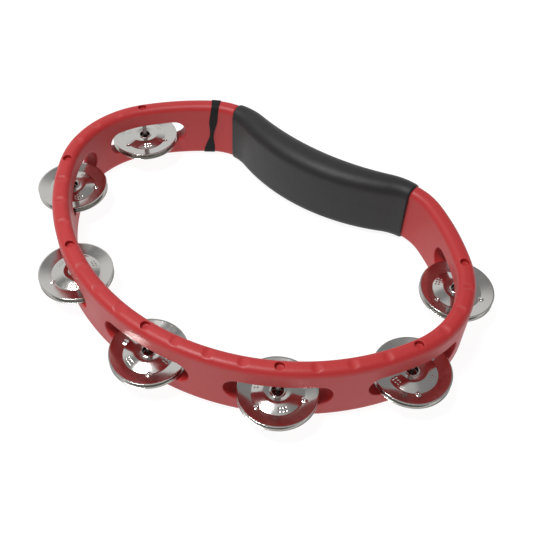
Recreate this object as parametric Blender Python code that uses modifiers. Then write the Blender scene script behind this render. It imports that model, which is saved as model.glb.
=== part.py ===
"""Headless hand tambourine with seven pairs of steel jingles and a soft sleeve on its handle.

The rim is one moulding that follows a bean-shaped plan: a broad front arc, tight sides, long
upper slopes, small shoulders and a handle that bows inward.  Each jingle pair sits on a steel
pin inside a through slot.  X is the player's right, +Y points to the handle, Z is up.
The origin is under the middle of the whole tambourine, on the surface that it lies on.
"""

import math

import bmesh
import bpy
from mathutils import Matrix, Vector

MM = 0.001
CLEARANCE = 0.3 * MM

# Rim.  The arcs run from the front centre round to the right shoulder: bend radius, turn.
RIM_ARCS = (
    (154.6 * MM, math.radians(61.6)),
    (64.2 * MM, math.radians(67.9)),
    (172.7 * MM, math.radians(16.7)),
    (39.8 * MM, math.radians(54.9)),
)
RIM_THICKNESS = 11.2 * MM
RIM_HEIGHT = 44.5 * MM
RIM_CORNER = 4.5 * MM
CORNER_STEPS = 3
STATION_SPACING = 8.0 * MM

# Jingles and the pins that carry them
PAIR_NUMBERS = range(1, 8)
PIN_GAPS = tuple(gap * MM for gap in (77.6, 82.0, 82.0, 82.0, 82.0, 77.6))
JINGLE_DIAMETER = 48.0 * MM
JINGLE_SHEET = 0.5 * MM
JINGLE_HOLE_RADIUS = 3.7 * MM
JINGLE_CREASE_RADIUS = 15.8 * MM
JINGLE_CREASE_HALF_WIDTH = 0.8 * MM
DOME_HEIGHT = 2.0 * MM
DOME_PEAK_RADIUS = 8.2 * MM
HUB_HEIGHT = 1.6 * MM
FLANGE_RISE = 1.7 * MM
JINGLE_SIDES = 24
PIN_RADIUS = 1.5 * MM
PIN_INSET = 1.0 * MM
PIN_BITE = 4.0 * MM
ROUND_SIDES = 12

# Openings and pockets in the rim
SLOT_LENGTH = 61.5 * MM
SLOT_HEIGHT = 17.5 * MM
SLOT_END_STEPS = 6
SLOT_CUT_DEPTH = 4 * RIM_THICKNESS
RECESS_RADIUS = 2.9 * MM
RECESS_DEPTH = 3.0 * MM
NOTCHES_PER_GAP = 3
NOTCH_WIDTH = 5.8 * MM
NOTCH_DEPTH = 0.8 * MM
NOTCH_SIDES = 20

# Handle sleeve and the elastic band beside it
SLEEVE_LENGTH = 150.0 * MM
SLEEVE_WALL = 3.0 * MM
SLEEVE_PROUD = 1.2 * MM
SLEEVE_CORNER = 6.0 * MM
BAND_DISTANCE = -291.5 * MM
BAND_WIDTH = 4.5 * MM
BAND_THICKNESS = 0.8 * MM

# How meshes are finished
CUT_MARGIN = 5.0 * MM
WELD_DISTANCE = 0.01 * MM
SHARP_ANGLE = math.radians(30)

# Sizes that follow from the ones above.  The sleeve stands proud of the rim all round, so the
# tambourine lies on the sleeve's underside and the rim's bottom edge is a little higher.
RIM_HALF = RIM_THICKNESS / 2
RIM_BOTTOM = SLEEVE_PROUD
RIM_TOP = RIM_BOTTOM + RIM_HEIGHT
JINGLE_RADIUS = JINGLE_DIAMETER / 2
SLOT_FLOOR = RIM_BOTTOM + (RIM_HEIGHT - SLOT_HEIGHT) / 2
SLOT_CEILING = SLOT_FLOOR + SLOT_HEIGHT
LOWER_JINGLE_Z = SLOT_FLOOR + CLEARANCE + DOME_HEIGHT + JINGLE_SHEET
UPPER_JINGLE_Z = LOWER_JINGLE_Z + CLEARANCE
PIN_BOTTOM = RIM_BOTTOM + PIN_INSET
PIN_TOP = SLOT_CEILING + PIN_BITE
SLEEVE_HALF = RIM_HALF + SLEEVE_WALL
SLEEVE_TOP = RIM_TOP + SLEEVE_PROUD
SEAT_BOTTOM = SLEEVE_WALL + CLEARANCE
SEAT_TOP = SLEEVE_TOP - SLEEVE_WALL - CLEARANCE


def turned(position, heading, radius, turn):
    """Follow an arc from a position and heading; a negative radius and turn bend to the right."""
    centre = position + radius * Vector((-math.sin(heading), math.cos(heading)))
    end = heading + turn
    return centre + radius * Vector((math.sin(end), -math.cos(end))), end


def closed_rim_arcs():
    """Add the inward handle arc, whose radius brings the right half back to the centre plane."""
    position = Vector((0.0, 0.0))
    heading = 0.0
    for radius, turn in RIM_ARCS:
        position, heading = turned(position, heading, radius, turn)
    overturn = heading - math.pi
    handle_radius = position.x / math.sin(overturn)
    return RIM_ARCS + ((-handle_radius, -overturn),)


ARCS = closed_rim_arcs()
HALF_LENGTH = sum(radius * turn for radius, turn in ARCS)


def point_on_half(distance):
    """Place and heading on the right half, measured from the front centre of the centre line."""
    position = Vector((0.0, 0.0))
    heading = 0.0
    for radius, turn in ARCS:
        part = min(distance, radius * turn)
        position, heading = turned(position, heading, radius, part / radius)
        distance -= part
    return position, heading


def shoulder_depth():
    """How far behind the front centre the rim turns back on itself, at the shoulders' rear."""
    position = Vector((0.0, 0.0))
    heading = 0.0
    for radius, turn in RIM_ARCS:
        position, heading = turned(position, heading, radius, min(turn, math.pi - heading))
    return position.y


# The front jingles and the sleeve at the shoulders are the outermost points in Y.
FRONT_Y = (JINGLE_RADIUS - shoulder_depth() - SLEEVE_HALF) / 2


def rim_point(distance):
    """Place and heading on the whole centre line; the left half is the right half mirrored."""
    if distance > HALF_LENGTH:
        distance -= 2 * HALF_LENGTH
    position, heading = point_on_half(abs(distance))
    if distance < 0:
        position.x = -position.x
        heading = -heading
    position.y += FRONT_Y
    return position, heading


def rim_frame_at(distance, height):
    """Matrix with X along the rim, Y into the ring and Z up, at a height on the centre line."""
    position, heading = rim_point(distance)
    return Matrix.Translation((*position, height)) @ Matrix.Rotation(heading, 4, "Z")


def rim_stations():
    """Evenly spaced distances that every swept piece shares, once round from the handle."""
    count = math.ceil(2 * HALF_LENGTH / STATION_SPACING)
    return [HALF_LENGTH * (2 * step / count - 1) for step in range(count)]


def stations_between(start, end):
    """The shared stations inside a stretch, with the stretch's own two ends."""
    turns = (0.0, 2 * HALF_LENGTH)
    inside = [station + turn for turn in turns for station in rim_stations()]
    return [start] + [distance for distance in inside if start < distance < end] + [end]


def pair_distance(number):
    """Place of a pair's pin along the rim; the middle pair is at the front centre."""
    return sum(PIN_GAPS[:number - 1]) - sum(PIN_GAPS) / 2


def clear_scene():
    for obj in list(bpy.data.objects):
        bpy.data.objects.remove(obj, do_unlink=True)


def new_collection(name):
    collection = bpy.data.collections.new(name)
    bpy.context.scene.collection.children.link(collection)
    return collection


def plain_material(name, colour, roughness, metallic=0.0):
    material = bpy.data.materials.new(name)
    material.use_nodes = True
    shader = material.node_tree.nodes["Principled BSDF"]
    shader.inputs["Base Color"].default_value = (*colour, 1.0)
    shader.inputs["Roughness"].default_value = roughness
    shader.inputs["Metallic"].default_value = metallic
    return material


def add_part(name, mesh, material):
    obj = bpy.data.objects.new(name, mesh)
    parts.objects.link(obj)
    mesh.materials.clear()
    mesh.materials.append(material)
    mesh.shade_smooth()
    mesh.set_sharp_from_angle(angle=SHARP_ANGLE)
    return obj


def add_cutter(name, mesh):
    obj = bpy.data.objects.new(name, mesh)
    cutters.objects.link(obj)
    obj.hide_render = True
    obj.display_type = "WIRE"
    return obj


def cut(obj, cutter):
    boolean = obj.modifiers.new(cutter.name, "BOOLEAN")
    boolean.operation = "DIFFERENCE"
    boolean.solver = "EXACT"
    boolean.object = cutter


def rounded_section(half_width, bottom, top, corner, corner_steps):
    """Upright rectangle with rounded corners, anticlockwise from its right side."""
    points = []
    corners = (
        (half_width - corner, top - corner, 0),
        (-half_width + corner, top - corner, 90),
        (-half_width + corner, bottom + corner, 180),
        (half_width - corner, bottom + corner, 270),
    )
    for x, z, start in corners:
        for step in range(corner_steps + 1):
            angle = math.radians(start + 90 * step / max(corner_steps, 1))
            points.append((x + corner * math.cos(angle), z + corner * math.sin(angle)))
    return points


def square_section(half_width, bottom, top):
    return rounded_section(half_width, bottom, top, 0.0, 0)


def poly_curve(name, points, closed):
    data = bpy.data.curves.new(name, "CURVE")
    data.dimensions = "2D"
    data.fill_mode = "NONE"
    spline = data.splines.new("POLY")
    spline.points.add(len(points) - 1)
    for point, place in zip(spline.points, points):
        point.co = (place[0], place[1], 0.0, 1.0)
    spline.use_cyclic_u = closed
    obj = bpy.data.objects.new(name, data)
    cutters.objects.link(obj)
    return obj


def swept_mesh(name, distances, section, closed=False):
    """Carry a section along the rim's centre line and return it as a welded mesh."""
    path = poly_curve(name, [rim_point(distance)[0] for distance in distances], closed)
    profile = poly_curve(name + "_section", section, True)
    path.data.bevel_mode = "OBJECT"
    path.data.bevel_object = profile
    path.data.use_fill_caps = not closed
    evaluated = path.evaluated_get(bpy.context.evaluated_depsgraph_get())
    mesh = bpy.data.meshes.new_from_object(evaluated)
    bpy.data.objects.remove(path, do_unlink=True)
    bpy.data.objects.remove(profile, do_unlink=True)
    shape = bmesh.new()
    shape.from_mesh(mesh)
    bmesh.ops.remove_doubles(shape, verts=shape.verts, dist=WELD_DISTANCE)
    bmesh.ops.recalc_face_normals(shape, faces=shape.faces)
    shape.to_mesh(mesh)
    shape.free()
    return mesh


def stretch_mesh(name, start, end, section):
    return swept_mesh(name, stations_between(start, end), section)


def cylinder(shape, radius, bottom, top, sides, matrix):
    """Add an upright cylinder between two heights, then carry it by a matrix."""
    middle = Matrix.Translation((0, 0, (bottom + top) / 2))
    bmesh.ops.create_cone(
        shape, cap_ends=True, segments=sides, radius1=radius, radius2=radius,
        depth=top - bottom, matrix=matrix @ middle,
    )


def mesh_from(name, shape):
    bmesh.ops.recalc_face_normals(shape, faces=shape.faces)
    mesh = bpy.data.meshes.new(name)
    shape.to_mesh(mesh)
    shape.free()
    return mesh


def slot_outline():
    """Long slot with half-round ends, centred on its own middle."""
    radius = SLOT_HEIGHT / 2
    straight = SLOT_LENGTH / 2 - radius
    points = []
    for side in (1, -1):
        for step in range(SLOT_END_STEPS + 1):
            angle = math.pi * (step / SLOT_END_STEPS - 0.5)
            across = side * (straight + radius * math.cos(angle))
            points.append((across, side * radius * math.sin(angle)))
    return points


def slot_cutter():
    """One prism for each jingle slot, pushed straight through the rim at its pin."""
    middle = (SLOT_FLOOR + SLOT_CEILING) / 2
    shape = bmesh.new()
    for number in PAIR_NUMBERS:
        matrix = rim_frame_at(pair_distance(number), middle)
        places = [matrix @ Vector((x, -SLOT_CUT_DEPTH / 2, z)) for x, z in slot_outline()]
        face = shape.faces.new([shape.verts.new(place) for place in places])
        grown = bmesh.ops.extrude_face_region(shape, geom=[face])
        moved = [item for item in grown["geom"] if isinstance(item, bmesh.types.BMVert)]
        across = matrix.to_3x3() @ Vector((0, SLOT_CUT_DEPTH, 0))
        bmesh.ops.translate(shape, verts=moved, vec=across)
    return add_cutter("slot_cutter", mesh_from("slot_cutter", shape))


def pin_bore_cutter():
    """Bores open at the underside, through the slot and blind above it."""
    shape = bmesh.new()
    for number in PAIR_NUMBERS:
        matrix = rim_frame_at(pair_distance(number), 0)
        cylinder(shape, PIN_RADIUS + CLEARANCE, RIM_BOTTOM - CUT_MARGIN, PIN_TOP + CLEARANCE,
                 ROUND_SIDES, matrix)
    return add_cutter("pin_bore_cutter", mesh_from("pin_bore_cutter", shape))


def recess_cutter():
    """Round blind recess in the top edge over each pin."""
    shape = bmesh.new()
    for number in PAIR_NUMBERS:
        matrix = rim_frame_at(pair_distance(number), 0)
        cylinder(shape, RECESS_RADIUS, RIM_TOP - RECESS_DEPTH, RIM_TOP + CUT_MARGIN,
                 ROUND_SIDES, matrix)
    return add_cutter("recess_cutter", mesh_from("recess_cutter", shape))


def notch_distances():
    """Places of the shallow notches, evenly spaced between neighbouring pins."""
    distances = []
    for number, gap in enumerate(PIN_GAPS, start=1):
        spacing = gap / (NOTCHES_PER_GAP + 1)
        steps = range(1, NOTCHES_PER_GAP + 1)
        distances += [pair_distance(number) + spacing * step for step in steps]
    return distances


def notch_cutter():
    """Rollers across the top and bottom edges, each sunk by the notch depth."""
    radius = (NOTCH_WIDTH ** 2 / 4 + NOTCH_DEPTH ** 2) / (2 * NOTCH_DEPTH)
    reach = RIM_HALF + CUT_MARGIN
    upright_to_inward = Matrix.Rotation(math.radians(-90), 4, "X")
    shape = bmesh.new()
    for distance in notch_distances():
        for height in (RIM_TOP - NOTCH_DEPTH + radius, RIM_BOTTOM + NOTCH_DEPTH - radius):
            matrix = rim_frame_at(distance, height) @ upright_to_inward
            cylinder(shape, radius, -reach, reach, NOTCH_SIDES, matrix)
    return add_cutter("notch_cutter", mesh_from("notch_cutter", shape))


def seat_cutter(name, bottom, top):
    """Take the rim down where the sleeve wraps it."""
    half = SLEEVE_LENGTH / 2 + CLEARANCE
    section = square_section(RIM_HALF + CUT_MARGIN, bottom, top)
    mesh = stretch_mesh(name, HALF_LENGTH - half, HALF_LENGTH + half, section)
    return add_cutter(name, mesh)


def make_rim(material):
    section = rounded_section(RIM_HALF, RIM_BOTTOM, RIM_TOP, RIM_CORNER, CORNER_STEPS)
    mesh = swept_mesh("rim_frame", rim_stations(), section, closed=True)
    rim = add_part("rim_frame", mesh, material)
    cut(rim, slot_cutter())
    cut(rim, pin_bore_cutter())
    cut(rim, recess_cutter())
    cut(rim, notch_cutter())
    cut(rim, seat_cutter("lower_seat_cutter", RIM_BOTTOM - CUT_MARGIN, SEAT_BOTTOM))
    cut(rim, seat_cutter("upper_seat_cutter", SEAT_TOP, RIM_TOP + CUT_MARGIN))
    return rim


def make_sleeve(material):
    """Closed soft tube round the handle, with square bore and rounded outside."""
    start = HALF_LENGTH - SLEEVE_LENGTH / 2
    end = HALF_LENGTH + SLEEVE_LENGTH / 2
    outside = rounded_section(SLEEVE_HALF, 0.0, SLEEVE_TOP, SLEEVE_CORNER, CORNER_STEPS)
    inside = square_section(RIM_HALF + CLEARANCE, SLEEVE_WALL, SLEEVE_TOP - SLEEVE_WALL)
    sleeve = add_part("grip_sleeve", stretch_mesh("grip_sleeve", start, end, outside), material)
    bore = stretch_mesh("sleeve_bore", start - CUT_MARGIN, end + CUT_MARGIN, inside)
    cut(sleeve, add_cutter("sleeve_bore", bore))
    return sleeve


def make_band(material):
    """Flat elastic loop pulled round the rim just before the sleeve."""
    start = BAND_DISTANCE - BAND_WIDTH / 2
    end = BAND_DISTANCE + BAND_WIDTH / 2
    gap = CLEARANCE
    reach = CLEARANCE + BAND_THICKNESS
    outside = rounded_section(RIM_HALF + reach, RIM_BOTTOM - reach, RIM_TOP + reach,
                              RIM_CORNER + reach, CORNER_STEPS)
    inside = rounded_section(RIM_HALF + gap, RIM_BOTTOM - gap, RIM_TOP + gap,
                             RIM_CORNER + gap, CORNER_STEPS)
    band = add_part("elastic_band", stretch_mesh("elastic_band", start, end, outside), material)
    bore = stretch_mesh("band_bore", start - CUT_MARGIN, end + CUT_MARGIN, inside)
    cut(band, add_cutter("band_bore", bore))
    return band


def jingle_profile():
    """Sheet section of a jingle: sunk hub, ring-shaped dome, crease and flange.

    Z 0 is the clashing side, on the crease that meets the other jingle of the pair.
    """
    crease_inner = JINGLE_CREASE_RADIUS - JINGLE_CREASE_HALF_WIDTH
    crease_outer = JINGLE_CREASE_RADIUS + JINGLE_CREASE_HALF_WIDTH
    inner_side = [
        (JINGLE_HOLE_RADIUS, HUB_HEIGHT),
        (DOME_PEAK_RADIUS, DOME_HEIGHT),
        (crease_inner, 0.0),
        (crease_outer, 0.0),
        (JINGLE_RADIUS, FLANGE_RISE),
    ]
    outer_side = [(radius, height + JINGLE_SHEET) for radius, height in inner_side]
    return outer_side + inner_side[::-1]


def jingle_mesh():
    """Open loop of edges that each jingle's Screw modifier turns once round Z."""
    profile = jingle_profile()
    mesh = bpy.data.meshes.new("jingle_profile")
    verts = [(radius, 0.0, height) for radius, height in profile]
    edges = [(index, (index + 1) % len(profile)) for index in range(len(profile))]
    mesh.from_pydata(verts, edges, [])
    return mesh


def make_jingle(name, mesh, material):
    jingle = add_part(name, mesh, material)
    turn = jingle.modifiers.new("turn", "SCREW")
    turn.axis = "Z"
    turn.angle = math.radians(360)
    turn.steps = JINGLE_SIDES
    turn.render_steps = JINGLE_SIDES
    turn.use_smooth_shade = True
    return jingle


def pin_mesh():
    shape = bmesh.new()
    cylinder(shape, PIN_RADIUS, PIN_BOTTOM, PIN_TOP, ROUND_SIDES, Matrix.Identity(4))
    return mesh_from("jingle_pin", shape)


def make_pairs(steel):
    """Put a pin and its two jingles, domes outward, in each slot."""
    shared_pin = pin_mesh()
    shared_jingle = jingle_mesh()
    for number in PAIR_NUMBERS:
        pin = add_part(f"jingle_pin_{number}", shared_pin, steel)
        pin.matrix_world = rim_frame_at(pair_distance(number), 0.0)
        lower = make_jingle(f"lower_jingle_{number}", shared_jingle, steel)
        lower.parent = pin
        lower.location.z = LOWER_JINGLE_Z
        lower.rotation_euler.x = math.pi
        upper = make_jingle(f"upper_jingle_{number}", shared_jingle, steel)
        upper.parent = pin
        upper.location.z = UPPER_JINGLE_Z


clear_scene()
parts = new_collection("tambourine")
cutters = new_collection("cutters")
red_plastic = plain_material("red_plastic", (0.42, 0.018, 0.02), 0.38)
nickel_steel = plain_material("nickel_steel", (0.75, 0.74, 0.71), 0.15, metallic=1.0)
black_foam = plain_material("black_foam", (0.028, 0.028, 0.03), 0.6)
black_elastic = plain_material("black_elastic", (0.015, 0.015, 0.015), 0.7)
make_rim(red_plastic)
make_sleeve(black_foam)
make_band(black_elastic)
make_pairs(nickel_steel)
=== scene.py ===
"""The tambourine's looks: camera, light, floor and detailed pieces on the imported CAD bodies.

The rim, the sleeve, the band and the jingles are rebuilt as finer meshes in the places of their
CAD nodes.  The pins keep their CAD shape and get a better steel.  Lengths are in metres.
"""

import math

import bmesh
import bpy
import numpy as np
from mathutils import Matrix, Vector


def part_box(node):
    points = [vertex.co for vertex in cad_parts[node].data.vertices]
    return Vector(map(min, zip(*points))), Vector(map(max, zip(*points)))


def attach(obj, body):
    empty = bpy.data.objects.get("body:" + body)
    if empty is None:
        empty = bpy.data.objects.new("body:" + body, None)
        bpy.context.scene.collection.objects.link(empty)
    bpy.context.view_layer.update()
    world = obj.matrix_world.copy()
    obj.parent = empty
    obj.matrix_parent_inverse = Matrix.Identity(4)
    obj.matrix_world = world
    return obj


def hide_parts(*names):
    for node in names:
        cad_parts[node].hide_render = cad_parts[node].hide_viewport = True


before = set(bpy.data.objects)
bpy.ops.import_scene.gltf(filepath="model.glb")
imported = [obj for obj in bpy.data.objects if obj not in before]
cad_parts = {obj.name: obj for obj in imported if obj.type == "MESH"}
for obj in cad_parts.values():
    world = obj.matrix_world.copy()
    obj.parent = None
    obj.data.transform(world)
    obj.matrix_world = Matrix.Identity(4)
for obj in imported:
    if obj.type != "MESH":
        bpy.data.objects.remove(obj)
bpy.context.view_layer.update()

MM = 0.001

# Camera: it turns round a point near the middle of the ring
CAMERA_TARGET = Vector((19.4, 7.5, 19.6)) * MM
CAMERA_DISTANCE = 524.1 * MM
CAMERA_AZIMUTH = math.radians(32.18)
CAMERA_ELEVATION = math.radians(48.955)
CAMERA_ROLL = math.radians(2.644)
CAMERA_LENS = 54.17

# Light: a patch of the sky fades in from its first to its second cosine to its direction
FLOOR_SIZE = 50.0
FLOOR_REFLECTANCE = 0.15
FLOOR_GLOW = 0.92
SKY_GREY = 0.28
PANEL_GREY = 0.52
PANEL_FACING = Vector((-0.85, 0.53, 0.0))
PANEL_SIDES = (0.44, 0.70)
PANEL_TOP = (0.88, 0.74)
CEILING_GREY = 0.25
CEILING_EDGE = (0.93, 0.99)
SOFTBOX_SIZE = 0.36
SOFTBOX_PLACE = Vector((-0.230, -0.304, 1.167))
SOFTBOX_WATTS = 12.5

# The rim's centre line, as in the CAD: bend radius and turn of each arc from the front centre
RIM_ARCS = (
    (154.6 * MM, math.radians(61.6)),
    (64.2 * MM, math.radians(67.9)),
    (172.7 * MM, math.radians(16.7)),
    (39.8 * MM, math.radians(54.9)),
)
RIM_HALF = 5.6 * MM
RIM_BOTTOM = 1.2 * MM
RIM_TOP = 45.7 * MM
RIM_CORNER = 4.5 * MM
CREST_HALF = RIM_HALF - RIM_CORNER
CORNER_STEPS = 8
WALL_ROWS = 16
STATION = 0.9 * MM

# Jingle slots and what is moulded round them
PAIRS = range(1, 8)
PIN_GAPS = tuple(gap * MM for gap in (77.6, 82.0, 82.0, 82.0, 82.0, 77.6))
END_CELL = 41.0 * MM
HALF_CELL_STEPS = 50
SLOT_MIDDLE = 23.45 * MM
SLOT_RADIUS = 8.75 * MM
SLOT_STRAIGHT = 22.0 * MM
SLOT_FILLET = 0.6 * MM
FILLET_STEPS = 4
WALL_RINGS = (0.1, 0.25, 0.45, 0.7, 0.93, 1.0)
POCKET_STEPS = 5
POCKET_BLENDS = (0.35, 0.7)
POCKET_LIP_STEPS = 4
POCKET_FOOT_STEPS = 3
POCKET_WALL_SHARE = 0.6
POCKET_FLOOR_SHARE = 0.45
RECESS_RADIUS = 2.9 * MM
RECESS_DEPTH = 3.0 * MM
BORE_RADIUS = 1.8 * MM
BORE_DEPTH = 1.6 * MM
POCKET_LIP = 0.35 * MM
NOTCHES_PER_GAP = 3
NOTCH_DEPTH = 0.8 * MM
NOTCH_WIDTH = 5.8 * MM
NOTCH_SOFTNESS = 0.35 * MM

# Sleeve
SLEEVE_REACH = 75.0 * MM
SLEEVE_HALF = 8.6 * MM
SLEEVE_TOP = 46.9 * MM
SLEEVE_CORNER = 8.0 * MM
SLEEVE_END = 1.6 * MM
SLEEVE_CROWN = 3.0 * MM
SLEEVE_TAPER = 0.8 * MM
SLEEVE_CROWN_TOP = 0.25
SLEEVE_SPACING = 0.9 * MM
SLEEVE_END_STEPS = 6
SLEEVE_BORE_HALF = 5.8 * MM
SLEEVE_BORE_SLACK = 0.3 * MM
SLEEVE_BORE_STRETCH = 1.2
SLEEVE_BORE_STATIONS = 60
SEAT_BOTTOM = 3.3 * MM
SEAT_TOP = 43.6 * MM
SEAT_STEP = 0.3 * MM

# Elastic band
BAND_TOP_DISTANCE = -296.0 * MM
BAND_BOTTOM_DISTANCE = -290.4 * MM
BAND_TOP_WIDTH = 6.2 * MM
BAND_BOTTOM_WIDTH = 8.6 * MM
BAND_GATHERED = 3.0 * MM
BAND_THICKNESS = 0.5 * MM
BAND_GATHER_HEIGHT = 20.0 * MM
BAND_GATHER_REACH = 14.0 * MM
BAND_GATHER_SWELL = 0.7
BAND_STAND_OFF = 1.06
BAND_SPACING = 0.7 * MM
BAND_SECTION_STEPS = 20
BAND_WIDE_POWER = 0.35
BAND_THICK_POWER = 0.8
INNER_FACING = 0.9

# Jingles
JINGLE_RADIUS = 24.0 * MM
SHEET = 0.5 * MM
HOLE_RADIUS = 3.6 * MM
RING_RADIUS = 0.55 * MM
RING_LIFT = 0.1 * MM
RING_TURNS = np.radians(np.linspace(60, 300, 9))
HUB_HEIGHT = 1.6 * MM
HUB_RADIUS = 4.7 * MM
DOME_HEIGHT = 2.0 * MM
DOME_PEAK = 8.2 * MM
DOME_SOFTNESS = 0.4 * MM
DOME_ROUNDNESS = 0.23
DOME_FOOT = 15.4 * MM
FLANGE_START = 15.6 * MM
FLANGE_RISE = 1.7 * MM
CREASE_SOFTNESS = 0.25 * MM
EDGE_START = JINGLE_RADIUS - SHEET / 2
EDGE_TURNS = np.radians((-45, 0, 45))
BUMP_RING = 16.1 * MM
BUMP_RADIUS = 2.1 * MM
BUMP_HEIGHT = 0.9 * MM
PIT_RADIUS = 0.9 * MM
PIT_DEPTH = 0.8 * MM
DENT_RINGS = (11.6 * MM, 13.5 * MM)
DENT_RADIUS = 0.8 * MM
DENT_DEPTH = 0.3 * MM
DENT_SPACING = math.radians(9)

# A jingle's mesh: each stretch of radii in millimetres and of angles in degrees, with its step
RADIUS_STRETCHES = ((4.7, 9.4, 0.4), (9.4, 10.6, 0.4), (10.6, 18.6, 0.25), (18.6, 23.75, 0.8))
ANGLE_STRETCHES = ((-9, 9, 0.9), (9, 46, 3.7), (46, 74, 1.2), (74, 111, 3.7))

# How each pair lies at rest: the turn of its upper jingle in degrees, the shift off its pin in
# millimetres, and how far both jingles tip down on the outside of the rim
PAIR_TURNS = (18.4, 31.0, 6.0, -51.0, 15.7, 70.0, 6.4)
PAIR_SHIFTS = (
    (-0.3, 0.2),
    (-0.3, 0.2),
    (-0.2, 0.3),
    (-0.3, 0.1),
    (-0.2, 0.2),
    (0.2, 0.3),
    (0.2, 0.3),
)
LOWER_TURN = math.radians(47)
PAIR_SAG = math.radians(0.35)


def closed_rim_arcs():
    """Every arc's start, heading there, radius and start distance, with the handle arc last."""
    arcs = []
    place = np.zeros(2)
    heading = 0.0
    distance = 0.0
    for radius, turn in RIM_ARCS:
        arcs.append((place, heading, radius, distance))
        centre = place + radius * np.array((-math.sin(heading), math.cos(heading)))
        heading += turn
        distance += radius * turn
        place = centre + radius * np.array((math.sin(heading), -math.cos(heading)))
    handle_turn = heading - math.pi
    handle_radius = place[0] / math.sin(handle_turn)
    arcs.append((place, heading, -handle_radius, distance))
    return arcs, distance + handle_radius * handle_turn


ARCS, HALF_LENGTH = closed_rim_arcs()


def centre_line(distance):
    """Places and headings on the rim's centre line at many distances from its front centre."""
    signed = np.where(distance > HALF_LENGTH, distance - 2 * HALF_LENGTH, distance)
    side = np.where(signed < 0, -1.0, 1.0)
    reach = np.abs(signed)
    starts = [arc[3] for arc in ARCS]
    index = np.searchsorted(starts, reach, side="right") - 1
    place = np.array([arc[0] for arc in ARCS])[index]
    start_heading = np.array([arc[1] for arc in ARCS])[index]
    radius = np.array([arc[2] for arc in ARCS])[index]
    heading = start_heading + (reach - np.array(starts)[index]) / radius
    x = place[..., 0] + radius * (np.sin(heading) - np.sin(start_heading))
    y = place[..., 1] + radius * (np.cos(start_heading) - np.cos(heading))
    return side * x, y, side * heading


def front_offset():
    """The CAD's shift in Y, read from the front pin's place."""
    low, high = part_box("jingle_pin_4")
    return (low.y + high.y) / 2


FRONT_Y = front_offset()


def bend(points):
    """Carry (along, across, up) points of the unrolled rim onto its real centre line."""
    x, y, heading = centre_line(points[..., 0])
    across = points[..., 1]
    bent_x = x - across * np.sin(heading)
    bent_y = y + across * np.cos(heading) + FRONT_Y
    return np.stack([bent_x, bent_y, points[..., 2]], axis=-1)


def pair_distance(number):
    return sum(PIN_GAPS[:number - 1]) - sum(PIN_GAPS) / 2


def cell_sides(number):
    """How far a pair's stretch of wall reaches before and after its pin."""
    before = PIN_GAPS[number - 2] / 2 if number > PAIRS[0] else END_CELL
    after = PIN_GAPS[number - 1] / 2 if number < PAIRS[-1] else END_CELL
    return before, after


def cell_stations(number):
    before, after = cell_sides(number)
    steps = np.arange(-HALF_CELL_STEPS, HALF_CELL_STEPS + 1) / HALF_CELL_STEPS
    return pair_distance(number) + np.where(steps < 0, steps * before, steps * after)


def blend_lower(first, second, softness):
    """The lower of two heights, with a rounded change from one to the other."""
    overlap = np.maximum(softness - np.abs(first - second), 0.0) / softness
    return np.minimum(first, second) - overlap ** 2 * softness / 4


def eased(fraction):
    """0 to 1 with level ends; outside that range it stays at the nearer end."""
    clipped = np.clip(fraction, 0.0, 1.0)
    return clipped * clipped * (3 - 2 * clipped)


class Shell:
    """Points and four-sided faces of one closed piece, collected patch by patch."""

    def __init__(self):
        self.points = []
        self.faces = []
        self.count = 0

    def add_grid(self, grid, closed=False):
        """Join rows of points; a closed grid also joins each row's last point to its first."""
        rows, columns = grid.shape[:2]
        index = self.count + np.arange(rows * columns).reshape(rows, columns)
        if closed:
            index = np.concatenate([index, index[:, :1]], axis=1)
        corners = (index[:-1, :-1], index[1:, :-1], index[1:, 1:], index[:-1, 1:])
        self.faces.append(np.stack(corners, axis=-1).reshape(-1, 4))
        self.points.append(grid.reshape(-1, 3))
        self.count += rows * columns

    def mesh(self, name, weld=0.01 * MM):
        """Weld the patches into one smooth mesh whose faces look outward."""
        mesh = bpy.data.meshes.new(name)
        points = np.concatenate(self.points)
        faces = np.concatenate(self.faces)
        mesh.from_pydata(points.tolist(), [], faces.tolist())
        shape = bmesh.new()
        shape.from_mesh(mesh)
        bmesh.ops.remove_doubles(shape, verts=shape.verts, dist=weld)
        bmesh.ops.recalc_face_normals(shape, faces=shape.faces)
        shape.to_mesh(mesh)
        shape.free()
        mesh.shade_smooth()
        return mesh


def add_piece(name, mesh, material, slot, body, *replaced):
    """Link a piece, paint it and tie it to its CAD body and nodes."""
    piece = bpy.data.objects.new(name, mesh)
    bpy.context.scene.collection.objects.link(piece)
    if material.name not in mesh.materials:
        mesh.materials.append(material)
    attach(piece, body)
    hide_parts(*replaced)
    return piece


# Rim ------------------------------------------------------------------------------------------

def crest_rows():
    """Across and drop of each row from the inner wall over the crest to the outer wall."""
    turn = np.linspace(0, math.pi / 2, CORNER_STEPS + 1)
    across = CREST_HALF + RIM_CORNER * np.cos(turn)
    drop = RIM_CORNER * (1 - np.sin(turn))
    across = np.concatenate([across, [0.0], -across[::-1]])
    drop = np.concatenate([drop, [0.0], drop[::-1]])
    return across, drop


def crest_drop(across):
    """How far the rounded edge has fallen at a distance from the rim's middle."""
    beyond = np.clip(np.abs(across) - CREST_HALF, 0.0, RIM_CORNER)
    return RIM_CORNER - np.sqrt(RIM_CORNER ** 2 - beyond ** 2)


def notch_places():
    places = []
    for number, gap in enumerate(PIN_GAPS, start=1):
        spacing = gap / (NOTCHES_PER_GAP + 1)
        places += [pair_distance(number) + spacing * step for step in range(1, NOTCHES_PER_GAP + 1)]
    return np.array(places)


NOTCHES = notch_places()


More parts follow.
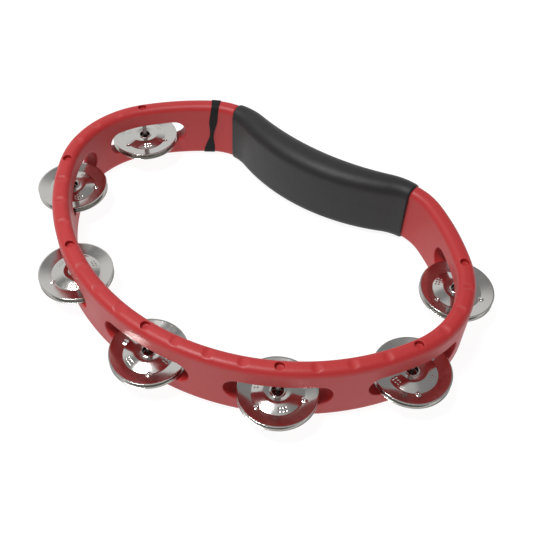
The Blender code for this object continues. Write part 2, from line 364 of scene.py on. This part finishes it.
def notched(along, height):
    """Lower a height above the rim's middle where a roller-shaped notch crosses it."""
    radius = (NOTCH_WIDTH ** 2 / 4 + NOTCH_DEPTH ** 2) / (2 * NOTCH_DEPTH)
    nearest = np.min(np.abs(along[..., None] - NOTCHES), axis=-1)
    beside = np.minimum(nearest, radius)
    full = (RIM_TOP - RIM_BOTTOM) / 2
    roller = full - NOTCH_DEPTH + radius - np.sqrt(radius ** 2 - beside ** 2)
    return blend_lower(height, roller, NOTCH_SOFTNESS)


def edge_points(along, across, drop, side):
    """Points on the top edge (side 1) or the bottom edge (side -1) of the unrolled rim."""
    full = (RIM_TOP - RIM_BOTTOM) / 2
    middle = (RIM_TOP + RIM_BOTTOM) / 2
    up = middle + side * notched(along, full - drop)
    return np.stack([along, across, seated(along, up)], axis=-1)


def seated(along, up):
    """Take the rim down to its seat where the sleeve wraps it."""
    inside = SLEEVE_REACH + SEAT_STEP - np.abs(along - HALF_LENGTH)
    depth = np.clip(inside / SEAT_STEP, 0.0, 1.0)
    top = RIM_TOP + depth * (SEAT_TOP - RIM_TOP)
    bottom = RIM_BOTTOM + depth * (SEAT_BOTTOM - RIM_BOTTOM)
    return np.clip(up, bottom, top)


def add_edge(shell, stations, side):
    """A plain stretch of the rounded edge."""
    across, drop = crest_rows()
    along, across = np.meshgrid(stations, across, indexing="ij")
    shell.add_grid(bend(edge_points(along, across, np.broadcast_to(drop, along.shape), side)))


def add_edge_rows(shell, stations, rows, side):
    """Some rows of the rounded edge, beside a pocket."""
    across, drop = crest_rows()
    along, across = np.meshgrid(stations, across[rows], indexing="ij")
    drop = np.broadcast_to(drop[rows], along.shape)
    shell.add_grid(bend(edge_points(along, across, drop, side)))


def patch_loop(stations, across):
    """Once round a rectangle of stations and rows, as (along, across) points."""
    first = [(station, across[0]) for station in stations]
    second = [(stations[-1], row) for row in across[1:]]
    third = [(station, across[-1]) for station in stations[-2::-1]]
    fourth = [(stations[0], row) for row in across[-2:0:-1]]
    return np.array(first + second + third + fourth)


def pocket_rings(radius, depth):
    """Radius and depth of a round pocket's rings, from outside its lip to its floor's middle."""
    rings = [(radius + POCKET_LIP, 0.0)]
    for step in range(1, POCKET_LIP_STEPS + 1):
        turn = math.pi / 2 * step / POCKET_LIP_STEPS
        outset = POCKET_LIP * (1 - math.sin(turn))
        rings.append((radius + outset, POCKET_LIP * (1 - math.cos(turn))))
    rings.append((radius, depth * POCKET_WALL_SHARE))
    for step in range(POCKET_FOOT_STEPS + 1):
        turn = math.pi / 2 * step / POCKET_FOOT_STEPS
        inset = POCKET_LIP * (1 - math.cos(turn))
        rings.append((radius - inset, depth - POCKET_LIP * (1 - math.sin(turn))))
    rings.append((radius * POCKET_FLOOR_SHARE, depth))
    rings.append((0.0, depth))
    return rings


def add_pocket(shell, stations, rows, pin, radius, depth, side):
    """A round pocket in the rounded edge, joined to the square gap left round it."""
    across, drop = crest_rows()
    loop = patch_loop(stations, across[rows])
    away = loop - (pin, 0.0)
    direction = away / np.linalg.norm(away, axis=1, keepdims=True)
    rings = [loop]
    lip = direction * (radius + POCKET_LIP) + (pin, 0.0)
    rings += [loop + (lip - loop) * fraction for fraction in POCKET_BLENDS]
    sunk = [0.0] * len(rings)
    for ring_radius, ring_depth in pocket_rings(radius, depth):
        rings.append(direction * ring_radius + (pin, 0.0))
        sunk.append(ring_depth)
    grid = np.stack(rings)
    sunk = np.array(sunk)[:, None]
    drop = crest_drop(grid[..., 1]) * (1 - sunk / depth) + sunk
    shell.add_grid(bend(edge_points(grid[..., 0], grid[..., 1], drop, side)), closed=True)


def add_cell_edges(shell, number):
    """The top and bottom edges of one pair's stretch, with the pockets over and under its pin."""
    stations = cell_stations(number)
    pin = pair_distance(number)
    low = HALF_CELL_STEPS - POCKET_STEPS
    high = HALF_CELL_STEPS + POCKET_STEPS
    first = CORNER_STEPS // 2
    last = 2 * CORNER_STEPS + 2 - first
    every_row = slice(0, 2 * CORNER_STEPS + 3)
    for side, radius, depth in ((1, RECESS_RADIUS, RECESS_DEPTH), (-1, BORE_RADIUS, BORE_DEPTH)):
        add_edge_rows(shell, stations[:low + 1], every_row, side)
        add_edge_rows(shell, stations[high:], every_row, side)
        add_edge_rows(shell, stations[low:high + 1], slice(0, first + 1), side)
        add_edge_rows(shell, stations[low:high + 1], slice(last, None), side)
        add_pocket(shell, stations[low:high + 1], slice(first, last + 1), pin, radius, depth, side)


def wall_heights():
    return np.linspace(RIM_BOTTOM + RIM_CORNER, RIM_TOP - RIM_CORNER, WALL_ROWS + 1)


def add_cell_wall(shell, number, side):
    """One face of the wall round a slot, the slot's rounded mouth and half of its tunnel."""
    pin = pair_distance(number)
    loop = patch_loop(cell_stations(number) - pin, wall_heights() - SLOT_MIDDLE)
    middle = np.stack([np.clip(loop[:, 0], -SLOT_STRAIGHT, SLOT_STRAIGHT), 0 * loop[:, 1]], axis=-1)
    away = loop - middle
    direction = away / np.linalg.norm(away, axis=1, keepdims=True)
    rings = []
    depths = []
    for depth in (0.0, 0.5):
        rings.append(middle + direction * SLOT_RADIUS)
        depths.append(depth * (RIM_HALF - SLOT_FILLET))
    for step in range(FILLET_STEPS + 1):
        turn = math.pi / 2 * step / FILLET_STEPS
        rings.append(middle + direction * (SLOT_RADIUS + SLOT_FILLET * (1 - math.cos(turn))))
        depths.append(RIM_HALF - SLOT_FILLET * (1 - math.sin(turn)))
    mouth = rings[-1]
    for fraction in WALL_RINGS:
        rings.append(mouth + (loop - mouth) * fraction)
        depths.append(RIM_HALF)
    grid = np.stack(rings)
    across = np.broadcast_to(side * np.array(depths)[:, None], grid.shape[:2])
    points = np.stack([grid[..., 0] + pin, across, grid[..., 1] + SLOT_MIDDLE], axis=-1)
    shell.add_grid(bend(points), closed=True)


def handle_stations():
    """Stations from pair 7 round the handle to pair 1, with the sleeve seat's steps among them."""
    start = pair_distance(PAIRS[-1]) + END_CELL
    end = 2 * HALF_LENGTH - start
    seat = SLEEVE_REACH + SEAT_STEP
    corners = [start, HALF_LENGTH - seat, HALF_LENGTH - SLEEVE_REACH]
    corners += [HALF_LENGTH + SLEEVE_REACH, HALF_LENGTH + seat, end]
    stations = []
    for low, high in zip(corners, corners[1:]):
        count = max(1, round((high - low) / STATION))
        stations += list(low + (high - low) * np.arange(count) / count)
    return np.array(stations + [end])


def add_plain_wall(shell, stations, side):
    along, up = np.meshgrid(stations, wall_heights(), indexing="ij")
    across = np.full(along.shape, side * RIM_HALF)
    shell.add_grid(bend(np.stack([along, across, up], axis=-1)))


def rim_mesh():
    shell = Shell()
    for number in PAIRS:
        add_cell_edges(shell, number)
        for side in (1, -1):
            add_cell_wall(shell, number, side)
    stations = handle_stations()
    for side in (1, -1):
        add_edge(shell, stations, side)
        add_plain_wall(shell, stations, side)
    return shell.mesh("rim")


# Sleeve and band ------------------------------------------------------------------------------

def rounded_loop(half, bottom, top, corner, spacing):
    """Places and outward directions once round an upright rounded rectangle, evenly spaced."""
    flat = 2 * (half - corner)
    tall = top - bottom - 2 * corner
    quarter = corner * math.pi / 2
    corner_steps = max(1, round(quarter / spacing))
    points = []
    for turn, length in ((0, tall), (90, flat), (180, tall), (270, flat)):
        side_steps = max(1, round(length / spacing))
        facing = np.array((math.cos(math.radians(turn)), math.sin(math.radians(turn))))
        ahead = np.array((-facing[1], facing[0]))
        reach = half if turn in (0, 180) else (top - bottom) / 2
        middle = np.array((0.0, (top + bottom) / 2)) + facing * reach
        for step in range(side_steps):
            offset = length * (step / side_steps - 0.5)
            points.append((*(middle + ahead * offset), *facing))
        corner_middle = middle + ahead * length / 2 - facing * corner
        for step in range(corner_steps):
            angle = math.pi / 2 * step / corner_steps
            out = facing * math.cos(angle) + ahead * math.sin(angle)
            points.append((*(corner_middle + out * corner), *out))
    return np.array(points)


def sleeve_mesh():
    """Soft tube with pulled-in ends, bulging in the middle of its length but not underneath."""
    outside = rounded_loop(SLEEVE_HALF, 0.0, SLEEVE_TOP, SLEEVE_CORNER, SLEEVE_SPACING)
    place = outside[:, :2]
    out = outside[:, 2:]
    ends = []
    for step in range(SLEEVE_END_STEPS + 1):
        turn = math.pi / 2 * step / SLEEVE_END_STEPS
        along = SLEEVE_REACH - SLEEVE_END * (1 - math.sin(turn))
        ends.append((along, SLEEVE_END * (1 - math.cos(turn))))
    straight = SLEEVE_REACH - SLEEVE_END
    count = round(2 * straight / STATION)
    body = [(straight * (2 * step / count - 1), 0.0) for step in range(1, count)]
    sections = [(-along, inset) for along, inset in ends[::-1]] + body + ends
    grid = []
    for along, inset in sections:
        crown = SLEEVE_CROWN - (SLEEVE_CROWN + SLEEVE_TAPER) * (along / SLEEVE_REACH) ** 2
        bulge = out * (crown, SLEEVE_CROWN_TOP * crown)
        section = place - out * inset + np.where(out[:, 1:] < 0, bulge * (1, 0), bulge)
        grid.append(np.column_stack([np.full(len(section), HALF_LENGTH + along), section]))
    shell = Shell()
    grid = np.array(grid)
    shell.add_grid(bend(grid), closed=True)
    bore = bore_section(place)
    for end, lip in ((-SLEEVE_REACH, grid[0]), (SLEEVE_REACH, grid[-1])):
        inner = np.column_stack([np.full(len(bore), HALF_LENGTH + end), bore])
        shell.add_grid(bend(np.stack([lip, (lip + inner) / 2, inner])), closed=True)
    alongs = np.linspace(-SLEEVE_REACH, SLEEVE_REACH, SLEEVE_BORE_STATIONS)
    tube = [np.column_stack([np.full(len(bore), HALF_LENGTH + along), bore]) for along in alongs]
    shell.add_grid(bend(np.array(tube)), closed=True)
    return shell.mesh("grip")


def bore_section(place):
    """The sleeve's inside, which hugs the seated rim, point for point with its outside."""
    half_height = (SEAT_TOP - SEAT_BOTTOM) / 2 + SLEEVE_BORE_SLACK
    middle = (SEAT_TOP + SEAT_BOTTOM) / 2
    spread = (place - (0.0, middle)) * SLEEVE_BORE_STRETCH
    across = np.clip(spread[:, 0], -SLEEVE_BORE_HALF, SLEEVE_BORE_HALF)
    up = np.clip(spread[:, 1], -half_height, half_height)
    return np.column_stack([across, up + middle])


def band_mesh():
    """Flat tape round the rim, gathered where it crosses the inner wall."""
    loop = rounded_loop(RIM_HALF, RIM_BOTTOM, RIM_TOP, RIM_CORNER, BAND_SPACING)
    turns = np.linspace(0, 2 * math.pi, BAND_SECTION_STEPS, endpoint=False)
    wide = np.sign(np.cos(turns)) * np.abs(np.cos(turns)) ** BAND_WIDE_POWER
    thick = np.sign(np.sin(turns)) * np.abs(np.sin(turns)) ** BAND_THICK_POWER
    height = loop[:, 1]
    share = (RIM_TOP - height) / (RIM_TOP - RIM_BOTTOM)
    middle = BAND_TOP_DISTANCE + (BAND_BOTTOM_DISTANCE - BAND_TOP_DISTANCE) * share
    inner = loop[:, 2] > INNER_FACING
    near = eased(1 - np.abs(height - BAND_GATHER_HEIGHT) / BAND_GATHER_REACH)
    gathered = np.where(inner, near, 0.0)
    width = BAND_TOP_WIDTH + (BAND_BOTTOM_WIDTH - BAND_TOP_WIDTH) * share
    width = width - (width - BAND_GATHERED) * gathered
    swell = BAND_THICKNESS * (1 + BAND_GATHER_SWELL * gathered)
    along = middle[:, None] + width[:, None] / 2 * wide
    out = swell[:, None] / 2 * (BAND_STAND_OFF + thick)
    across = loop[:, 0, None] + loop[:, 2, None] * out
    up = height[:, None] + loop[:, 3, None] * out
    grid = np.stack([along, across, up], axis=-1)
    shell = Shell()
    shell.add_grid(bend(np.concatenate([grid, grid[:1]])), closed=True)
    return shell.mesh("band")


# Jingles --------------------------------------------------------------------------------------

def sheet_height(radius):
    """Height of the clashing side at a radius: sunk hub, ring-shaped dome, crease and flange."""
    peak = DOME_HEIGHT + DOME_SOFTNESS / 4
    hub = HUB_HEIGHT + (peak - HUB_HEIGHT) * (radius - HUB_RADIUS) / (DOME_PEAK - HUB_RADIUS)
    fall = (DOME_FOOT - radius) / (DOME_FOOT - DOME_PEAK)
    flank = peak * fall * (1 + DOME_ROUNDNESS * (1 - fall))
    dome = blend_lower(hub, flank, DOME_SOFTNESS)
    flange = FLANGE_RISE * (radius - FLANGE_START) / (JINGLE_RADIUS - FLANGE_START)
    return -blend_lower(-dome, -flange, CREASE_SOFTNESS)


def stamped(x, y):
    """Extra height of the stamped bumps and small dents, repeated every third of a turn."""
    extra = np.zeros(x.shape)
    for third in range(3):
        angle = math.radians(120 * third)
        apart = np.hypot(x - BUMP_RING * math.cos(angle), y - BUMP_RING * math.sin(angle))
        extra += BUMP_HEIGHT * eased(1 - apart / BUMP_RADIUS)
        extra -= PIT_DEPTH * eased(1 - apart / PIT_RADIUS)
        for ring in DENT_RINGS:
            for step in (-1, 0, 1):
                around = angle + math.radians(60) + step * DENT_SPACING
                apart = np.hypot(x - ring * math.cos(around), y - ring * math.sin(around))
                extra -= DENT_DEPTH * eased(1 - apart / DENT_RADIUS)
    return extra


def jingle_angles():
    """Angles once round, closer together where bumps and dents are stamped."""
    third = []
    for start, end, step in ANGLE_STRETCHES:
        count = round((end - start) / step)
        third += [start + (end - start) * index / count for index in range(count)]
    return np.radians([angle + 120 * turn for turn in range(3) for angle in third])


def jingle_radii():
    """Radii of the sheet's rings from the hub to the edge's rounding, closer at the details."""
    radii = []
    for start, end, step in RADIUS_STRETCHES:
        count = round((end - start) / step)
        radii += [start + (end - start) * index / count for index in range(count)]
    return np.append(np.array(radii) * MM, EDGE_START)


def jingle_mesh():
    """One stamped disc with a rolled hole ring; its clashing side is at height 0."""
    radii = jingle_radii()
    under = sheet_height(radii)
    profile = [(radius, height, 1.0) for radius, height in zip(radii, under)]
    edge = SHEET / 2
    for turn in EDGE_TURNS:
        height = under[-1] + edge + edge * math.sin(turn)
        profile.append((EDGE_START + edge * math.cos(turn), height, 0.0))
    back = zip(radii[::-1], under[::-1])
    profile += [(radius, height + SHEET, 1.0) for radius, height in back]
    ring_middle = HOLE_RADIUS + RING_RADIUS
    for turn in RING_TURNS:
        height = HUB_HEIGHT + edge + RING_LIFT + RING_RADIUS * math.sin(turn)
        profile.append((ring_middle + RING_RADIUS * math.cos(turn), height, 0.0))
    radius, height, pressed = np.array(profile).T
    angles = jingle_angles()
    x = np.cos(angles)[:, None] * radius
    y = np.sin(angles)[:, None] * radius
    z = height + pressed * stamped(x, y)
    grid = np.stack([x, y, z], axis=-1)
    shell = Shell()
    shell.add_grid(np.concatenate([grid, grid[:1]]), closed=True)
    return shell.mesh("jingle")


def turned(mesh, angle):
    """A copy of a jingle's mesh, turned on its own axis."""
    copy = mesh.copy()
    copy.transform(Matrix.Rotation(angle, 4, "Z"))
    return copy


def add_jingles(material):
    """Hang a lower and an upper jingle on every pin, their domes turned away from each other."""
    mesh = jingle_mesh()
    flip = Matrix.Rotation(math.pi, 4, "X")
    for number, turn, shift in zip(PAIRS, np.radians(PAIR_TURNS), PAIR_SHIFTS):
        heading = float(centre_line(np.array(pair_distance(number)))[2])
        ahead = Vector((math.cos(heading), math.sin(heading), 0.0))
        sag = Matrix.Rotation(PAIR_SAG, 4, ahead)
        low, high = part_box(f"jingle_pin_{number}")
        x = (low.x + high.x) / 2 + shift[0] * MM
        y = (low.y + high.y) / 2 + shift[1] * MM
        lower_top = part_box(f"lower_jingle_{number}")[1].z
        upper_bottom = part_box(f"upper_jingle_{number}")[0].z
        upper = add_piece(f"upper_jingle_{number}_look", turned(mesh, turn), material,
                          "nickel_steel", f"upper_{number}", f"upper_jingle_{number}")
        upper.matrix_world = Matrix.Translation((x, y, upper_bottom)) @ sag
        lower = add_piece(f"lower_jingle_{number}_look", turned(mesh, -turn - LOWER_TURN), material,
                          "nickel_steel", f"lower_{number}", f"lower_jingle_{number}")
        lower.matrix_world = Matrix.Translation((x, y, lower_top)) @ sag @ flip


# Materials ------------------------------------------------------------------------------------

def new_material(name, colour, **uniform):
    """A Principled material with the settings that are the same all over."""
    material = bpy.data.materials.new(name)
    material.use_nodes = True
    shader = material.node_tree.nodes["Principled BSDF"]
    shader.inputs["Base Color"].default_value = (*colour, 1.0)
    for socket, value in uniform.items():
        shader.inputs[socket.replace("_", " ")].default_value = value
    return material


def add_node(owner, kind, inputs=None, **settings):
    """A node of a material or the sky; an input is either a value or another node's output."""
    node = owner.node_tree.nodes.new("ShaderNode" + kind)
    for name, value in settings.items():
        setattr(node, name, value)
    for name, value in (inputs or {}).items():
        if isinstance(value, bpy.types.NodeSocket):
            owner.node_tree.links.new(value, node.inputs[name])
        else:
            node.inputs[name].default_value = value
    return node


def connect(material, socket, value):
    shader = material.node_tree.nodes["Principled BSDF"]
    material.node_tree.links.new(value, shader.inputs[socket])


def noise(material, place, scale, detail=3.0, roughness=0.5):
    """Noise between 0 and 1 with about that many features in a metre."""
    node = add_node(material, "TexNoise", {"Vector": place, "Scale": scale, "Detail": detail,
                                          "Roughness": roughness})
    return node.outputs["Fac"]


def remap(material, value, low, high, new_low, new_high):
    node = add_node(material, "MapRange", {"Value": value, "From Min": low, "From Max": high,
                                          "To Min": new_low, "To Max": new_high})
    return node.outputs["Result"]


def soft_step(owner, value, start, end):
    """0 at the start and 1 at the end of a range, with level ends."""
    node = add_node(owner, "MapRange", {"Value": value, "From Min": start, "From Max": end},
                    interpolation_type="SMOOTHSTEP")
    return node.outputs["Result"]


def calculate(owner, operation, first, second=0.0, third=0.0):
    node = add_node(owner, "Math", {0: first, 1: second, 2: third}, operation=operation)
    return node.outputs["Value"]


def mix_colours(material, share, first, second):
    node = add_node(material, "Mix", data_type="RGBA")
    colours = [socket for socket in node.inputs if socket.type == "RGBA"]
    for socket, colour in zip(colours, (first, second)):
        socket.default_value = (*colour, 1.0)
    material.node_tree.links.new(share, node.inputs["Factor"])
    return [socket for socket in node.outputs if socket.type == "RGBA"][0]


def add_relief(material, *layers):
    """Stack bumps, each a (height, depth in metres) pair, onto the shader's normal."""
    normal = None
    for height, depth in layers:
        inputs = {"Height": height, "Distance": depth, "Strength": 1.0}
        if normal:
            inputs["Normal"] = normal
        normal = add_node(material, "Bump", inputs).outputs["Normal"]
    connect(material, "Normal", normal)


def object_place(material):
    return add_node(material, "TexCoord").outputs["Object"]


def red_plastic():
    """Moulded red plastic: fine grain, slow flow ripples and small scuffs."""
    material = new_material("red_plastic_look", (0.42, 0.018, 0.02), IOR=1.5)
    place = object_place(material)
    flow = noise(material, place, 35.0, 2.0)
    grain = noise(material, place, 1000.0, 2.0)
    scuff = noise(material, place, 420.0, 6.0, 0.7)
    colour = mix_colours(material, flow, (0.40, 0.017, 0.019), (0.45, 0.020, 0.022))
    connect(material, "Base Color", colour)
    patchy = remap(material, flow, 0.3, 0.7, 0.44, 0.52)
    scuffed = remap(material, scuff, 0.62, 0.75, 0.0, 0.12)
    connect(material, "Roughness", calculate(material, "ADD", patchy, scuffed))
    add_relief(material, (flow, 0.12 * MM), (grain, 0.09 * MM))
    return material


def nickel():
    """Polished nickel plate with fine turned lines, worn specks and faint smudges."""
    material = new_material("nickel_look", (0.62, 0.61, 0.58), Metallic=1.0)
    place = object_place(material)
    split = add_node(material, "SeparateXYZ", {"Vector": place})
    flat = add_node(material, "CombineXYZ", {"X": split.outputs["X"], "Y": split.outputs["Y"]})
    radius = add_node(material, "VectorMath", {0: flat.outputs["Vector"]}, operation="LENGTH")
    rings = add_node(material, "CombineXYZ", {"X": radius.outputs["Value"]})
    lines = noise(material, rings.outputs["Vector"], 3800.0, 3.0)
    smudge = noise(material, place, 130.0, 4.0)
    speck = noise(material, place, 900.0, 5.0, 0.65)
    colour = mix_colours(material, smudge, (0.58, 0.565, 0.54), (0.67, 0.66, 0.64))
    connect(material, "Base Color", colour)
    smooth = remap(material, smudge, 0.35, 0.7, 0.10, 0.19)
    worn = remap(material, speck, 0.6, 0.75, 0.0, 0.12)
    connect(material, "Roughness", calculate(material, "ADD", smooth, worn))
    add_relief(material, (lines, 0.004 * MM), (smudge, 0.03 * MM))
    return material


def pin_steel():
    """Drawn steel wire with faint lines along it."""
    material = new_material("pin_steel_look", (0.62, 0.61, 0.60), Metallic=1.0)
    place = object_place(material)
    stretched = add_node(material, "Mapping", {"Vector": place, "Scale": (1.0, 1.0, 0.04)})
    lines = noise(material, stretched.outputs["Vector"], 3500.0, 3.0)
    connect(material, "Roughness", remap(material, lines, 0.3, 0.7, 0.18, 0.34))
    add_relief(material, (lines, 0.01 * MM))
    return material


def black_foam():
    """Smooth skin of a soft sleeve: fine pores, slow unevenness and a dusty sheen."""
    material = new_material("black_foam_look", (0.014, 0.014, 0.015), Sheen_Weight=0.05,
                            Sheen_Roughness=0.5, IOR=1.42)
    place = object_place(material)
    pores = noise(material, place, 1600.0, 4.0, 0.6)
    lumps = noise(material, place, 55.0, 2.0)
    dust = noise(material, place, 260.0, 5.0, 0.65)
    colour = mix_colours(material, dust, (0.011, 0.011, 0.012), (0.018, 0.018, 0.019))
    connect(material, "Base Color", colour)
    connect(material, "Roughness", remap(material, pores, 0.3, 0.7, 0.46, 0.6))
    add_relief(material, (lumps, 0.4 * MM), (pores, 0.03 * MM))
    return material


def black_elastic():
    """Matt black elastic tape with a fine thread grain."""
    material = new_material("black_elastic_look", (0.006, 0.006, 0.006), IOR=1.35)
    place = object_place(material)
    thread = noise(material, place, 2200.0, 3.0)
    connect(material, "Roughness", remap(material, thread, 0.3, 0.7, 0.6, 0.85))
    add_relief(material, (thread, 0.06 * MM))
    return material


# Stage ----------------------------------------------------------------------------------------

def add_camera():
    data = bpy.data.cameras.new("camera")
    data.lens = CAMERA_LENS
    data.clip_start = 0.01
    data.clip_end = 100.0
    camera = bpy.data.objects.new("camera", data)
    bpy.context.scene.collection.objects.link(camera)
    swing = Matrix.Rotation(CAMERA_AZIMUTH, 4, "Z")
    tilt = Matrix.Rotation(math.pi / 2 - CAMERA_ELEVATION, 4, "X")
    roll = Matrix.Rotation(CAMERA_ROLL, 4, "Z")
    back = Matrix.Translation((0, 0, CAMERA_DISTANCE))
    camera.matrix_world = Matrix.Translation(CAMERA_TARGET) @ swing @ tilt @ back @ roll
    bpy.context.scene.camera = camera


def add_floor():
    """A large floor that reflects little and glows nearly white, so its shadows stay faint."""
    half = FLOOR_SIZE / 2
    mesh = bpy.data.meshes.new("floor")
    corners = [(-half, -half, 0), (half, -half, 0), (half, half, 0), (-half, half, 0)]
    mesh.from_pydata(corners, [], [(0, 1, 2, 3)])
    material = new_material("floor_white", (FLOOR_REFLECTANCE,) * 3, Roughness=0.9,
                            Emission_Strength=FLOOR_GLOW)
    shader = material.node_tree.nodes["Principled BSDF"]
    shader.inputs["Emission Color"].default_value = (1.0, 1.0, 1.0, 1.0)
    mesh.materials.append(material)
    floor = bpy.data.objects.new("floor", mesh)
    bpy.context.scene.collection.objects.link(floor)


def add_sky():
    """Even grey, a wide pale panel behind on the left and a paler patch straight above."""
    world = bpy.data.worlds.new("studio")
    world.use_nodes = True
    direction = add_node(world, "TexCoord").outputs["Generated"]
    sideways = add_node(world, "VectorMath", {0: direction, 1: PANEL_FACING.normalized()},
                        operation="DOT_PRODUCT").outputs["Value"]
    height = add_node(world, "SeparateXYZ", {"Vector": direction}).outputs["Z"]
    panel = calculate(world, "MULTIPLY", soft_step(world, sideways, *PANEL_SIDES),
                      soft_step(world, height, *PANEL_TOP))
    grey = calculate(world, "MULTIPLY_ADD", panel, PANEL_GREY, SKY_GREY)
    ceiling = soft_step(world, height, *CEILING_EDGE)
    grey = calculate(world, "MULTIPLY_ADD", ceiling, CEILING_GREY, grey)
    background = world.node_tree.nodes["Background"]
    world.node_tree.links.new(grey, background.inputs["Color"])
    bpy.context.scene.world = world


def add_softbox():
    data = bpy.data.lights.new("softbox", "AREA")
    data.shape = "DISK"
    data.size = SOFTBOX_SIZE
    data.energy = SOFTBOX_WATTS
    light = bpy.data.objects.new("softbox", data)
    light.location = SOFTBOX_PLACE
    light.visible_camera = False
    bpy.context.scene.collection.objects.link(light)


def paint_pins(material):
    for number in PAIRS:
        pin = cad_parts[f"jingle_pin_{number}"]
        pin.data.materials.clear()
        pin.data.materials.append(material)


add_camera()
add_floor()
add_sky()
add_softbox()
bpy.context.scene.view_settings.view_transform = "Standard"
add_piece("rim", rim_mesh(), red_plastic(), "red_plastic", "frame", "rim_frame")
grip = add_piece("grip", sleeve_mesh(), black_foam(), "black_foam", "frame", "grip_sleeve")
add_piece("band", band_mesh(), black_elastic(), "black_elastic", "frame", "elastic_band")
add_jingles(nickel())
paint_pins(pin_steel())
